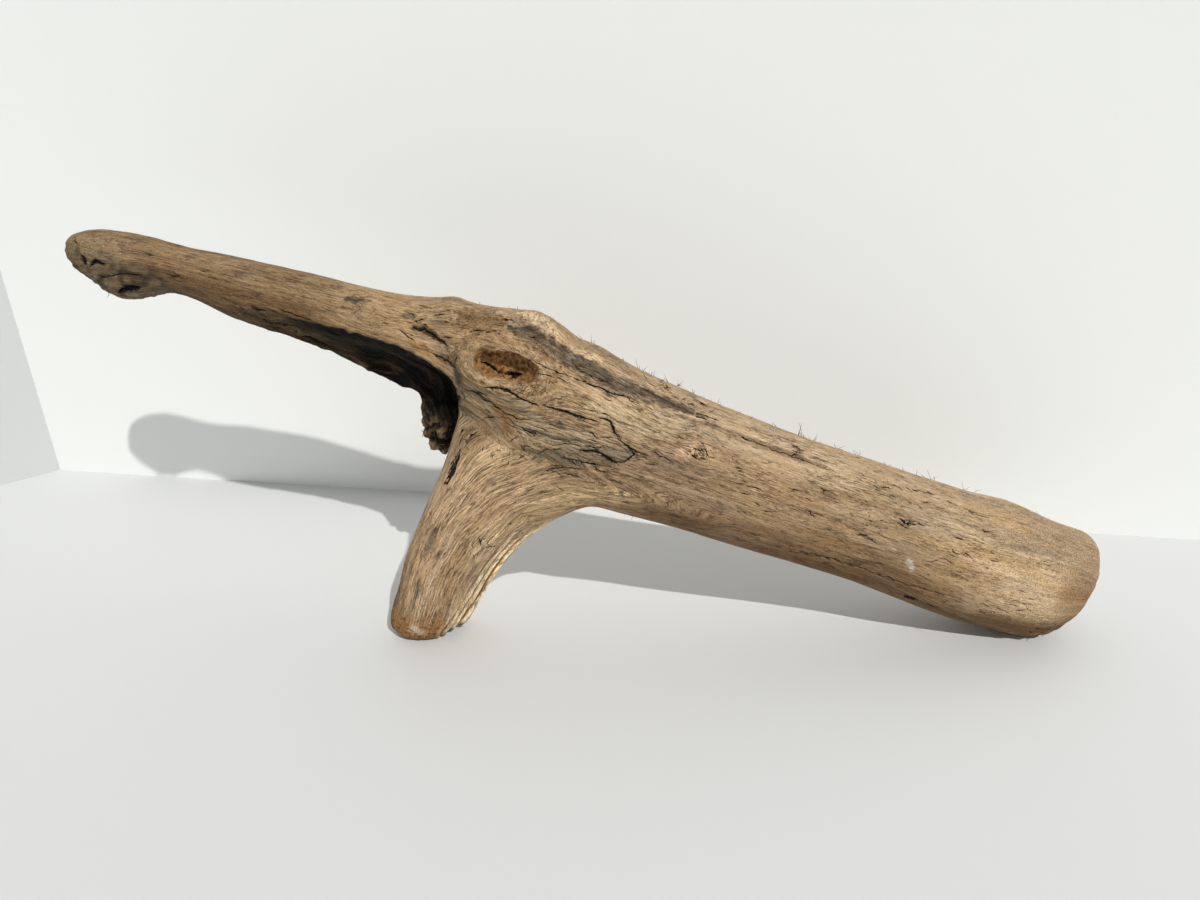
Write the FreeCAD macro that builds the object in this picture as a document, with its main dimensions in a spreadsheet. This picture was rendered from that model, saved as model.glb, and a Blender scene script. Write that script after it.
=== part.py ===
import FreeCAD, Part
import os
import re
import Sketcher

# A piece of driftwood: a thick stem that lies down to its butt, a long
# limb that tapers up the other way, and a stub leg that props the fork.
# Millimetres. +Z up, +X from the limb's tip to the butt, origin on the
# ground under the middle. Both the foot and the butt rest on Z = 0.

os.makedirs("parts", exist_ok=True)
doc = FreeCAD.newDocument("Driftwood")
V = FreeCAD.Vector

sizes = [
    ("stem_length", 441, "shoulder to the end of the butt, along X"),
    ("limb_length", 254, "shoulder to the limb's tip, along X"),
    ("shoulder_offset", 92, "origin to the shoulder, along X"),
    ("shoulder_height", 202, "axis above the ground at the shoulder"),
    ("shoulder_side", 3, "axis at the shoulder, along Y"),
    ("stem_side", -18, "stem's axis beyond the hip, along Y"),
    ("stem_sag", 6, "stem's axis below its chord"),
    ("stem_flatness", 0.8, "stem's depth over its height"),
    ("neck_girth", 79, "height of the section at the shoulder"),
    ("hip_girth", 114, "height of the section over the leg"),
    ("stem_girth", 92, "height of the section along the stem"),
    ("butt_girth", 94, "height of the section where the butt rests"),
    ("butt_overhang", 49, "butt's resting place to its end"),
    ("rest_wear", 1, "wood worn flat where the butt rests"),
    ("limb_rise", 59, "limb's tip above the shoulder"),
    ("limb_sweep", 36, "limb's tip behind the shoulder"),
    ("limb_girth", 48, "height of the limb's section, mid-length"),
    ("wrist_girth", 33, "height of the limb at its thinnest"),
    ("tip_girth", 38, "height of the swollen tip"),
    ("limb_flatness", 0.92, "limb's depth over its height"),
    ("gutter_depth", 20, "rotted gutter under the limb"),
    ("skirt_drop", 73, "torn skirt's lower edge below the shoulder"),
    ("skirt_width", 60, "torn skirt, along X"),
    ("skirt_thickness", 20, "torn skirt, along Y"),
    ("skirt_lean", 25, "skirt's lower edge towards the tip"),
    ("leg_root", 48, "shoulder to the middle of the leg's root"),
    ("leg_spread", 84, "root to foot, along X"),
    ("foot_side", -25, "middle of the foot, along Y"),
    ("foot_width", 44, "foot, along X"),
    ("leg_width", 60, "leg, along X"),
    ("root_width", 96, "leg where it flares into the stem"),
    ("leg_flatness", 0.72, "leg's depth over its width"),
    ("toe_offset", 34, "foot to the second toe, along X"),
    ("toe_back", 15, "second toe behind the foot"),
    ("toe_clearance", 4, "second toe above the ground"),
    ("toe_width", 23, "second toe, along X"),
    ("knot_offset", 34, "shoulder to the middle of the knot"),
    ("knot_lift", 23, "knot above the stem's axis"),
    ("collar_length", 76, "collar around the knot"),
    ("collar_height", 44, "collar around the knot"),
    ("collar_rise", 7, "collar proud of the stem"),
    ("core_length", 48, "dead knot inside the collar"),
    ("core_height", 25, "dead knot inside the collar"),
    ("core_depth", 16, "dead knot, half its depth"),
    ("hollow_depth", 9, "bowl rotted out of the knot"),
    ("crown_length", 54, "swelling on top of the hip"),
    ("crown_width", 34, "swelling on top of the hip"),
    ("crown_rise", 5, "swelling proud of the stem"),
    ("lump_length", 46, "knobbly lump under the tip"),
    ("lump_width", 28, "knobbly lump under the tip"),
    ("lump_drop", 5, "lump proud of the tip"),
]
sheet = doc.addObject("Spreadsheet::Sheet", "Sizes")
for row, (alias, value, meaning) in enumerate(sizes, 1):
    sheet.set(f"A{row}", meaning)
    sheet.set(f"B{row}", str(value))
    sheet.setAlias(f"B{row}", alias)
doc.recompute()
any_size = re.compile(r"\b(" + "|".join(row[0] for row in sizes) + r")\b")


def bound(text):
    """An expression over the sheet, from one over its aliases."""
    return any_size.sub(r"Sizes.\1", text)


def bind(thing, values):
    for key, text in values.items():
        thing.setExpression(key, bound(text))


def blend(first, second, share):
    return f"({first}*{round(1 - share, 4)}+{second}*{share})"


def ring(body, role, name, centre, longer, shorter):
    """An elliptical section on one of the body's own planes."""
    upright = role == "YZ_Plane"
    plane = next(f for f in body.Origin.OriginFeatures if f.Role == role)
    sketch = body.newObject("Sketcher::SketchObject", name)
    sketch.AttachmentSupport = [(plane, "")]
    sketch.MapMode = "FlatFace"
    ends = (V(0, 20, 0), V(9, 0, 0)) if upright else (V(20, 0, 0), V(0, 9, 0))
    sketch.addGeometry(Part.Ellipse(*ends, V(0, 0, 0)), False)
    sketch.exposeInternalGeometry(0)
    sketch.addConstraint(Sketcher.Constraint("Coincident", 0, 3, -1, 1))
    sketch.addConstraint(Sketcher.Constraint("Vertical" if upright else "Horizontal", 1))
    for axis, (key, text) in enumerate((("longer", longer), ("shorter", shorter)), 1):
        index = sketch.addConstraint(Sketcher.Constraint("Distance", axis, 40.0 / axis))
        sketch.renameConstraint(index, key)
        sketch.setExpression(f"Constraints.{key}", bound(text))
    bind(sketch, {f"AttachmentOffset.Base.{k}": t for k, t in zip("xyz", centre)})
    return sketch


def member(name, role, rows):
    """A body lofted through its rings: (centre, longer axis, shorter axis)."""
    body = doc.addObject("PartDesign::Body", name)
    rings = [ring(body, role, f"{name}_ring_{k}", *row) for k, row in enumerate(rows)]
    doc.recompute()
    loft = body.newObject("PartDesign::AdditiveLoft", f"{name}_loft")
    loft.Profile = rings[0]
    loft.Sections = rings[1:]
    doc.recompute()
    return body


def swelling(name, spans, centre, turn=(0, 0, 0)):
    """An ellipsoid; spans and centre are expressions along X, Y and Z."""
    lump = doc.addObject("Part::Ellipsoid", name)
    lump.Angle1, lump.Angle2, lump.Angle3 = -90, 90, 360
    lump.Placement = FreeCAD.Placement(V(), FreeCAD.Rotation(*turn))
    bind(lump, dict(zip(("Radius2", "Radius3", "Radius1"), spans)))
    bind(lump, {f"Placement.Base.{k}": t for k, t in zip("xyz", centre)})
    return lump


def cut(name, base, *tools):
    for k, tool in enumerate(tools):
        made = doc.addObject("Part::Cut", name if k == len(tools) - 1 else f"{name}_{k}")
        made.Base, made.Tool = base, tool
        base = made
    return base


def labelled(thing, label):
    thing.Label = label
    return thing


# The stem: nine rings from the shoulder to where the butt rests, then the
# rounded end. Share of the way, share of the sway, share of the sag, height.
rest = "(stem_length-butt_overhang)"
butt_axis = "(butt_girth/2-rest_wear)"
stem_rows = []
for share, sway, sag, girth in [
    (0, 0, 0, "neck_girth"),
    (0.082, 0.29, 0.5, blend("neck_girth", "hip_girth", 0.56)),
    (0.184, 0.67, 0.8, "hip_girth"),
    (0.286, 0.95, 1.1, blend("hip_girth", "stem_girth", 0.45)),
    (0.388, 1.05, 1.0, blend("hip_girth", "stem_girth", 0.82)),
    (0.541, 1.05, 1.0, "stem_girth"),
    (0.719, 1.0, 0.7, "stem_girth"),
    (0.872, 0.9, 0.9, "butt_girth*1.03"),
    (1, 0.9, 0, "butt_girth"),
]:
    stem_rows.append((
        (blend("shoulder_side", "stem_side", sway),
         f"{blend('shoulder_height', butt_axis, share)}-stem_sag*{sag}",
         f"{rest}*{share}-shoulder_offset"),
        girth, f"{girth}*stem_flatness"))
for share, lift, size in [(0.61, -0.03, 0.78), (0.88, 0.05, 0.52), (1, 0.09, 0.22)]:
    stem_rows.append((
        (blend("shoulder_side", "stem_side", 0.9),
         f"{butt_axis}+butt_girth*{lift}",
         f"{rest}+butt_overhang*{share}-shoulder_offset"),
        f"butt_girth*{size}", f"butt_girth*stem_flatness*{size}"))
stem_body = member("stem_body", "YZ_Plane", stem_rows)

ground = doc.addObject("Part::Box", "ground")
ground.Placement = FreeCAD.Placement(V(-1000, -500, -100), FreeCAD.Rotation())
ground.Length, ground.Width, ground.Height = 2000, 1000, 100

# The limb starts on the same ring as the stem and is rotted out along its
# front underside. Share of the length, rise and sweep, height, flatness.
limb_rows = []
for share, rise, sweep, girth, flat in [
    (0, 0, 0, "neck_girth", "stem_flatness"),
    (0.09, 0.034, 0.22, blend("neck_girth", "limb_girth", 0.3), "limb_flatness*0.9"),
    (0.228, 0.17, 0.5, blend("neck_girth", "limb_girth", 0.59), "limb_flatness*0.93"),
    (0.425, 0.424, 0.72, "limb_girth", "limb_flatness"),
    (0.622, 0.627, 0.86, blend("limb_girth", "wrist_girth", 0.56), "limb_flatness"),
    (0.78, 0.81, 0.94, "wrist_girth", "limb_flatness"),
    (0.89, 0.864, 1, "tip_girth", "limb_flatness*0.95"),
    (0.96, 0.932, 1, "tip_girth*0.79", "limb_flatness"),
    (1, 1, 1, "tip_girth*0.4", "limb_flatness"),
]:
    limb_rows.append((
        (f"shoulder_side+limb_sweep*{sweep}",
         f"shoulder_height+limb_rise*{rise}",
         f"0-shoulder_offset-limb_length*{share}"),
        girth, f"{girth}*{flat}"))
limb_body = member("limb_body", "YZ_Plane", limb_rows)

gutter_rows = []
for share, rise, sweep, girth, forward, down, wide, tall in [
    (0.622, 0.627, 0.86, blend("limb_girth", "wrist_girth", 0.56), 0.44, 0.36, 0.4, 0.5),
    (0.5, 0.51, 0.79, blend("limb_girth", "wrist_girth", 0.25), 0.5, 0.43, 0.9, 0.95),
    (0.35, 0.32, 0.65, blend("neck_girth", "limb_girth", 0.82), 0.46, 0.36, 1.4, 1.45),
    (0.19, 0.13, 0.43, blend("neck_girth", "limb_girth", 0.53), 0.35, 0.31, 1.8, 1.9),
    (0.07, 0.03, 0.18, blend("neck_girth", "limb_girth", 0.24), 0.26, 0.35, 2.0, 2.4),
    (-0.02, 0, 0, "neck_girth", 0.22, 0.38, 2.2, 2.8),
]:
    gutter_rows.append((
        (f"shoulder_side+limb_sweep*{sweep}-{girth}*{forward}",
         f"shoulder_height+limb_rise*{rise}-{girth}*{down}",
         f"0-shoulder_offset-limb_length*{share}"),
        f"gutter_depth*{tall}", f"gutter_depth*{wide}"))
gutter = member("gutter", "YZ_Plane", gutter_rows)

# The leg: its foot is level with the ground and its root ends inside the
# stem. Share of its height, share of its lean, width, share of its depth.
root_share = f"leg_root/{rest}"
leg_height = (f"(shoulder_height-(shoulder_height-{butt_axis})*{root_share}"
              f"-stem_sag*0.7)")
leg_rows = []
for share, lean, width, depth in [
    (0, 0, "foot_width*0.64", 0.95),
    (0.033, 0, "foot_width", 0.95),
    (0.11, 0.05, blend("foot_width", "leg_width", 0.5), 1),
    (0.333, 0.24, "leg_width", 1),
    (0.556, 0.5, blend("leg_width", "root_width", 0.22), 1.1),
    (0.778, 0.81, blend("leg_width", "root_width", 0.67), 1.08),
    (0.944, 1, "root_width", 1.04),
]:
    leg_rows.append((
        (f"leg_root-shoulder_offset-leg_spread*{round(1 - lean, 4)}",
         blend("foot_side", "stem_side", lean),
         f"{leg_height}*{share}"),
        width, f"{width}*leg_flatness*{depth}"))
leg_body = member("leg_body", "XY_Plane", leg_rows)

# The second toe stands beside the foot and fans into the hip.
toe_rows = []
for share, along, back, wide, deep in [
    (0, -0.12, 0.6, 0.8, 0.8),
    (0.15, 0.015, 0.85, 1.1, 1),
    (0.32, 0.17, 1, 1.6, 1.16),
    (0.49, 0.39, 0.8, 2.35, 1.45),
    (0.6, 0.6, 0.45, 3.3, 1.85),
    (0.74, 0.8, 0.15, 4.0, 2.25),
]:
    toe_rows.append((
        (f"leg_root-shoulder_offset-leg_spread+toe_offset+leg_spread*{along}*1.1",
         f"foot_side+toe_back*{back}",
         f"toe_clearance+({leg_height}-toe_clearance)*{share}"),
        f"toe_width*{wide}", f"toe_width*{deep}"))
toe_body = member("toe_body", "XY_Plane", toe_rows)

# The torn skirt hangs behind the leg from the gutter's rear wall.
skirt_rows = []
for share, lean, back, wide, thick in [
    (0, 0.66, 0.6, 0.2, 0.5),
    (0.27, 0.6, 0.5, 0.52, 0.7),
    (0.62, 0.24, 0.4, 0.8, 0.9),
    (1, 0, 0.3, 1, 1),
]:
    skirt_rows.append((
        (f"0-shoulder_offset-skirt_lean*{lean}",
         f"shoulder_side+skirt_thickness*{back}",
         f"shoulder_height-skirt_drop*{round(1 - share, 4)}"),
        f"skirt_width*{wide}", f"skirt_thickness*{thick}"))
skirt_body = member("skirt_body", "XY_Plane", skirt_rows)

# The knot looks out of the stem's front, above its axis. Its middle lies on
# the stem's surface at the second ring.
(side, up, along), tall, deep = stem_rows[1]
knot_x = "knot_offset-shoulder_offset"
knot_y = f"{side}-{deep}/2*sqrt(1-(2*knot_lift/{tall})*(2*knot_lift/{tall}))"
knot_z = f"{up}+knot_lift"
slope = (0, 14, 0)
collar_lump = swelling(
    "collar_lump", ("collar_length/2", "collar_rise*2", "collar_height/2"),
    (f"{knot_x}+collar_length*0.08", f"{knot_y}+collar_rise", f"{knot_z}-collar_height*0.06"),
    slope)
core_lump = swelling(
    "core_lump", ("core_length/2", "core_depth", "core_height/2"),
    (knot_x, f"{knot_y}+core_depth*0.4", knot_z), slope)
hollow_lump = swelling(
    "hollow_lump", ("core_length*0.55", "hollow_depth*2", "core_height*0.55"),
    (knot_x, f"{knot_y}-hollow_depth*1.3", knot_z), slope)

# The crown swells over the hip at the third ring, the lump under the tip.
(side, up, along), tall, deep = stem_rows[2]
crown_lump = swelling(
    "crown_lump", ("crown_length/2", "crown_width/2", "crown_rise*3"),
    (f"{along}-crown_length*0.3", f"{side}+crown_width*0.1",
     f"{up}+{tall}/2-crown_rise"), slope)
(side, up, along), tall, deep = limb_rows[6]
tip_lump = swelling(
    "tip_lump", ("lump_length/2", "lump_width/2", "lump_drop*3"),
    (f"{along}+lump_length*0.15", f"{side}-lump_width*0.1",
     f"{up}-{tall}/2+lump_drop*1.9"), (0, 10, 0))

doc.recompute()

pieces = [
    labelled(cut("stem_cut", stem_body, ground, core_lump), "stem"),
    labelled(cut("limb_cut", limb_body, gutter), "tapering_limb"),
    labelled(cut("leg_cut", leg_body, stem_body, limb_body), "leg"),
]
leg = pieces[2]
pieces += [
    labelled(cut("toe_cut", toe_body, stem_body, leg), "second_toe"),
    labelled(cut("skirt_cut", skirt_body, leg, stem_body, limb_body), "torn_skirt"),
    labelled(cut("collar_cut", collar_lump, stem_body, core_lump), "knot_collar"),
    labelled(cut("core_cut", core_lump, hollow_lump), "knot_core"),
    labelled(cut("crown_cut", crown_lump, stem_body, collar_lump), "crown_burl"),
    labelled(cut("lump_cut", tip_lump, limb_body), "tip_burl"),
]
doc.recompute()

faulty = [o.Name for o in doc.Objects if {"Invalid", "Error"} & set(o.State)]
if faulty:
    raise RuntimeError(f"failed objects: {faulty}")
for piece in pieces:
    if piece.Shape.isNull() or not piece.Shape.isValid():
        raise RuntimeError(f"{piece.Label} has no valid shape")
    print(piece.Label, len(piece.Shape.Solids), round(piece.Shape.Volume / 1000, 2), "cm3")
for piece in pieces:
    piece.Shape.exportStep(f"parts/{piece.Label}.step")
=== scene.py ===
import math
import random

import bmesh
import bpy
import numpy as np
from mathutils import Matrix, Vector, noise


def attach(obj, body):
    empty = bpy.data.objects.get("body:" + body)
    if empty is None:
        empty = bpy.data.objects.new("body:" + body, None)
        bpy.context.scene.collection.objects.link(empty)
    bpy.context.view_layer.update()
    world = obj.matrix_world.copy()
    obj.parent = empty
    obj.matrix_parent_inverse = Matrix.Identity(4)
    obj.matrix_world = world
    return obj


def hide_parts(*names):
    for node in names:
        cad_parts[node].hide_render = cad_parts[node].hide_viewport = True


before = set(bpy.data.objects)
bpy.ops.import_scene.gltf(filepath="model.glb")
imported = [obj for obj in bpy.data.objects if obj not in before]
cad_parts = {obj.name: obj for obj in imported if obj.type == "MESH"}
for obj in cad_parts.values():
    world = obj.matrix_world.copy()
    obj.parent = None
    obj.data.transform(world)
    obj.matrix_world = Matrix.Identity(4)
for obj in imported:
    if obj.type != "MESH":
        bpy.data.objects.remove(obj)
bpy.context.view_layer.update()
scene = bpy.context.scene
random.seed(7)
print("frame loaded")

view = {"place": (0.0, -0.551, 0.41), "down": 26.5, "lens": 27.03, "sensor": 36, "nearest": 0.01}
cameraData = bpy.data.cameras.new("camera")
cameraData.lens = view["lens"]
cameraData.sensor_width = view["sensor"]
cameraData.clip_start = view["nearest"]
camera = bpy.data.objects.new("camera", cameraData)
camera.location = view["place"]
camera.rotation_euler = (math.radians(90 - view["down"]), 0, 0)
scene.collection.objects.link(camera)
scene.camera = camera


def linked(name, mesh, material=None):
    piece = bpy.data.objects.new(name, mesh)
    scene.collection.objects.link(piece)
    if material:
        mesh.materials.append(material)
    return piece


def meshFrom(name, bm):
    mesh = bpy.data.meshes.new(name)
    bm.to_mesh(mesh)
    bm.free()
    return mesh


def finished(piece):  # the piece's mesh with its modifiers made real
    graph = bpy.context.evaluated_depsgraph_get()
    mesh = bpy.data.meshes.new_from_object(piece.evaluated_get(graph))
    bpy.data.objects.remove(piece)
    return mesh


def linear(*colour):  # a colour as it is seen on a screen, made linear
    return tuple(c / 12.92 if c <= 0.04045 else ((c + 0.055) / 1.055) ** 2.4 for c in colour)


# node helpers
class Tree:
    def __init__(self, name):
        self.material = bpy.data.materials.new(name)
        self.material.use_nodes = True
        self.nodes = self.material.node_tree.nodes
        self.links = self.material.node_tree.links
        self.shader = self.nodes["Principled BSDF"]

    def give(self, name, value):
        self.put(self.shader.inputs[name], value)

    def put(self, socket, value):
        if isinstance(value, bpy.types.NodeSocket):
            self.links.new(value, socket)
        elif value is not None:
            socket.default_value = value

    def add(self, kind, **settings):
        node = self.nodes.new(kind)
        for key, value in settings.items():
            setattr(node, key, value)
        return node

    def attribute(self, name, vector=False, colour=False):
        node = self.add("ShaderNodeAttribute", attribute_name=name)
        return node.outputs["Vector" if vector else "Color" if colour else "Fac"]

    def math(self, operation, a, b=None):
        node = self.add("ShaderNodeMath", operation=operation)
        self.put(node.inputs[0], a)
        self.put(node.inputs[1], b)
        return node.outputs[0]

    def stretched(self, vector, per):
        node = self.add("ShaderNodeVectorMath", operation="MULTIPLY")
        self.put(node.inputs[0], vector)
        node.inputs[1].default_value = per
        return node.outputs[0]

    def noise(self, vector, detail=2.0, rough=0.5, twist=0.0):
        node = self.add("ShaderNodeTexNoise")
        self.put(node.inputs["Vector"], vector)
        node.inputs["Scale"].default_value = 1.0
        for socket, number in zip(("Detail", "Roughness", "Distortion"), (detail, rough, twist)):
            node.inputs[socket].default_value = number
        return node.outputs["Fac"]

    def span(self, value, low, high, to=(0.0, 1.0), smooth=True):
        node = self.add("ShaderNodeMapRange")
        node.interpolation_type = "SMOOTHSTEP" if smooth else "LINEAR"
        self.put(node.inputs["Value"], value)
        sockets = ("From Min", "From Max", "To Min", "To Max")
        for socket, number in zip(sockets, (low, high) + to):
            node.inputs[socket].default_value = number
        return node.outputs["Result"]

    def mix(self, factor, a, b, blend="MIX"):
        node = self.add("ShaderNodeMix", data_type="RGBA", blend_type=blend)
        self.put(node.inputs["Factor"], factor)
        for socket, value in ((node.inputs[6], a), (node.inputs[7], b)):
            self.put(socket, value if isinstance(value, bpy.types.NodeSocket) else (*value, 1))
        return node.outputs[2]


# floor, walls and light
room = {"corner": (-0.527, 0.228), "right": (2.6, -0.158), "left": (-1.9, -0.905), "near": -2.4,
        "board": (0.66, 0.665, 0.665), "boardRoughness": 0.6, "wallHeight": 1.9, "wallRoughness": 0.7,
        "walls": {"backWall": ("corner", "right", (0.895, 0.905, 0.885)),
                  "leftWall": ("left", "corner", (0.6, 0.615, 0.61))},
        "sun": 2.55, "sunSoft": 0.9, "sunColour": (1.0, 0.985, 0.955),
        "sunTravel": (-0.54, 1.0, -1.25), "sky": 0.36, "skyColour": (0.93, 0.97, 1.0)}

bm = bmesh.new()
corners = [(*room["corner"], 0), (*room["left"], 0), (room["left"][0], room["near"], 0),
           (room["right"][0], room["near"], 0), (*room["right"], 0)]
bm.faces.new([bm.verts.new(c) for c in corners])
bmesh.ops.recalc_face_normals(bm, faces=bm.faces)
if bm.faces[:][0].normal.z < 0:
    bmesh.ops.reverse_faces(bm, faces=bm.faces)
paint = Tree("matt white board")
paint.give("Base Color", (*room["board"], 1))
paint.give("Roughness", room["boardRoughness"])
floor = linked("floor", meshFrom("floor", bm), paint.material)

for name, (start, end, colour) in room["walls"].items():
    bm = bmesh.new()
    low = [bm.verts.new((*room[p], 0)) for p in (start, end)]
    top = [bm.verts.new((*room[p], room["wallHeight"])) for p in (end, start)]
    face = bm.faces.new(low + top)
    bm.normal_update()
    if face.normal.y > 0:
        face.normal_flip()
    wallPaint = Tree(name + " paint seen from inside")
    wallPaint.give("Base Color", (*colour, 1))
    wallPaint.give("Roughness", room["wallRoughness"])
    clear = wallPaint.add("ShaderNodeBsdfTransparent")
    side = wallPaint.add("ShaderNodeMixShader")
    wallPaint.put(side.inputs[0], wallPaint.add("ShaderNodeNewGeometry").outputs["Backfacing"])
    wallPaint.put(side.inputs[1], wallPaint.shader.outputs[0])
    wallPaint.put(side.inputs[2], clear.outputs[0])
    wallPaint.put(wallPaint.nodes["Material Output"].inputs["Surface"], side.outputs[0])
    linked(name, meshFrom(name, bm), wallPaint.material)

sunData = bpy.data.lights.new("sun", "SUN")
sunData.energy = room["sun"]
sunData.angle = math.radians(room["sunSoft"])
sunData.color = room["sunColour"]
sun = bpy.data.objects.new("sun", sunData)
sun.rotation_euler = Vector(room["sunTravel"]).to_track_quat("-Z", "Y").to_euler()
scene.collection.objects.link(sun)
world = bpy.data.worlds.new("sky")
world.use_nodes = True
background = world.node_tree.nodes["Background"]
background.inputs["Color"].default_value = (*room["skyColour"], 1)
background.inputs["Strength"].default_value = room["sky"]
scene.world = world
scene.view_settings.view_transform = "Standard"
print("camera, floor, walls and light in place")


# one skin over all the wood
skin = {"voxel": 0.0034, "levels": 2, "evenOut": 4, "junctionTurns": 6, "evenShare": 0.5,
        "tipLift": 0.0028, "liftFrom": -0.16, "liftOver": 0.12,
        "tipReach": 0.003, "reachFrom": -0.28, "reachOver": 0.06,
        "crownDrop": 0.0065, "crownAt": -0.018, "crownHalf": 0.024, "dropFrom": 0.195, "dropOver": 0.03}
joined = bmesh.new()
woodNodes = ("stem", "tapering_limb", "leg", "second_toe", "torn_skirt", "knot_collar", "knot_core",
             "crown_burl", "tip_burl")
for name in woodNodes:
    bm = bmesh.new()
    bm.from_mesh(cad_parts[name].data)
    bmesh.ops.remove_doubles(bm, verts=bm.verts, dist=1e-6)
    joined.from_mesh(meshFrom(name + "Copy", bm))
log = linked("wood", meshFrom("wood", joined))
remesh = log.modifiers.new("remesh", "REMESH")
remesh.mode = "VOXEL"
remesh.voxel_size = skin["voxel"]

bm = bmesh.new()
bm.from_mesh(finished(log))
left = set(bm.verts)  # only the largest shell is kept
shells = []
while left:
    start = left.pop()
    shell, edge = {start}, [start]
    while edge:
        for e in edge.pop().link_edges:
            for v in e.verts:
                if v not in shell:
                    shell.add(v)
                    edge.append(v)
    left -= shell
    shells.append(shell)
keep = max(shells, key=len)
bmesh.ops.delete(bm, geom=[v for v in bm.verts if v not in keep], context="VERTS")

# where two limbs of the wood run into each other the skin is drawn out smooth
junctions = [
    ((-0.045, -0.03, 0.15), 0.045), ((0.02, -0.02, 0.112), 0.055), ((-0.105, -0.01, 0.21), 0.018),
    ((-0.05, -0.03, 0.188), 0.02), ((-0.08, -0.02, 0.06), 0.03), ((-0.055, -0.02, 0.1), 0.03),
    ((-0.3, 0.03, 0.245), 0.02), ((-0.02, -0.02, 0.22), 0.03)]


def evened(verts, turns):
    for turn in range(turns):
        bmesh.ops.smooth_vert(bm, verts=verts, factor=skin["evenShare"],
                              use_axis_x=True, use_axis_y=True, use_axis_z=True)


evened(bm.verts, skin["evenOut"])
for centre, radius in junctions:
    evened([v for v in bm.verts if (v.co - Vector(centre)).length < radius], skin["junctionTurns"])
for v in bm.verts:
    # the tip gets back what the smoothing took
    v.co.z += skin["tipLift"] * min(max((skin["liftFrom"] - v.co.x) / skin["liftOver"], 0), 1)
    v.co.x -= skin["tipReach"] * max((skin["reachFrom"] - v.co.x) / skin["reachOver"], 0)
    # and the log falls away sooner behind its crown
    beside = abs(v.co.x - skin["crownAt"]) / skin["crownHalf"]
    if beside < 1:
        high = min(max((v.co.z - skin["dropFrom"]) / skin["dropOver"], 0), 1)
        v.co.z -= skin["crownDrop"] * (0.5 + 0.5 * math.cos(math.pi * beside)) * high
log = linked("wood", meshFrom("wood", bm))


def ease(low, high, value):
    t = np.clip((value - low) / (high - low), 0, 1)
    return t * t * (3 - 2 * t)


def read(data, what):  # three numbers for each point
    values = np.zeros(len(data) * 3)
    data.foreach_get(what, values)
    return values.reshape(-1, 3)


def store(mesh, name, kind, values):
    what = {"FLOAT": "value", "FLOAT_VECTOR": "vector", "FLOAT_COLOR": "color"}[kind]
    layer = mesh.attributes.get(name) or mesh.attributes.new(name, kind, "POINT")
    layer.data.foreach_set(what, values.astype(np.float32).ravel())


# the grain runs along the spine of the log, and up the leg and over into the stem
logSpine = [
    (-0.352, 0.04, 0.262), (-0.318, 0.039, 0.253), (-0.29, 0.037, 0.25), (-0.25, 0.034, 0.239),
    (-0.2, 0.029, 0.227), (-0.15, 0.021, 0.212), (-0.105, 0.008, 0.203), (-0.06, -0.003, 0.186),
    (-0.02, -0.011, 0.169), (0.02, -0.017, 0.151), (0.06, -0.019, 0.136), (0.12, -0.019, 0.112),
    (0.19, -0.018, 0.087), (0.25, -0.016, 0.062), (0.3, -0.016, 0.046), (0.36, -0.016, 0.03)]
logGirth = [0.012, 0.019, 0.016, 0.019, 0.024, 0.03, 0.037, 0.046, 0.052, 0.048, 0.043, 0.041, 0.041,
            0.043, 0.042, 0.036]
legSpine = [
    (-0.134, -0.026, -0.015), (-0.108, -0.023, 0.06), (-0.088, -0.021, 0.095), (-0.062, -0.019, 0.122),
    (-0.02, -0.018, 0.137), (0.03, -0.018, 0.133), (0.09, -0.018, 0.116), (0.16, -0.018, 0.092)]
legGirth = [0.017, 0.022, 0.026, 0.036, 0.045, 0.045, 0.043, 0.041]
spineX, spineY, spineZ = zip(*logSpine)
course = {"points": 260, "rounding": 12, "radius": 0.04, "leastGirth": 0.55, "legStart": 0.16}
seam = {"height": 0.185, "from": -0.095, "fall": 0.057, "run": 0.135, "end": (0.11, 0.06),
        "soft": (-0.006, 0.008), "behind": -0.1, "above": 0.115}


def along(spine, girth, points, start):
    spine, girth = np.array(spine), np.array(girth)
    steps = np.linalg.norm(np.diff(spine, axis=0), axis=1)
    at = np.concatenate([[0], np.cumsum(steps)])
    fine = np.linspace(0, at[-1], course["points"])
    centre = np.stack([np.interp(fine, at, spine[:, k]) for k in range(3)], 1)
    for turn in range(course["rounding"]):
        centre[1:-1] = (centre[:-2] + 2 * centre[1:-1] + centre[2:]) / 4
    thick = np.interp(fine, at, girth)
    ahead = np.gradient(centre, axis=0)
    ahead /= np.linalg.norm(ahead, axis=1)[:, None]
    up = np.cross((0, -1, 0), ahead)
    up /= np.linalg.norm(up, axis=1)[:, None]
    across = np.cross(ahead, up)
    near = ((points[:, None, :] - centre[None]) ** 2).sum(2).argmin(1)
    off = points - centre[near]
    high, wide = (off * up[near]).sum(1), (off * across[near]).sum(1)
    # streaks keep to the surface as it tapers
    swell = course["radius"] / np.maximum(np.hypot(high, wide), thick[near] * course["leastGirth"])
    ran = start + fine[near] + (off * ahead[near]).sum(1)
    return np.stack([ran, high * swell, wide * swell], 1)


def legPart(points):  # 1 where the grain is the leg's, 0 where it is the log's
    x, y, z = points.T
    line = seam["height"] - (x - seam["from"]) * seam["fall"] / seam["run"]
    below = ease(*seam["soft"], line - z) * ease(*seam["end"], x)
    return below * np.where((x < seam["behind"]) & (z > seam["above"]), y < 0.0, 1.0)


rough = read(log.data.vertices, "co")
below = legPart(rough)[:, None]
grain = along(logSpine, logGirth, rough, 0.0) * (1 - below)
grain = grain + along(legSpine, legGirth, rough, course["legStart"]) * below
store(log.data, "grain", "FLOAT_VECTOR", grain)

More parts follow.
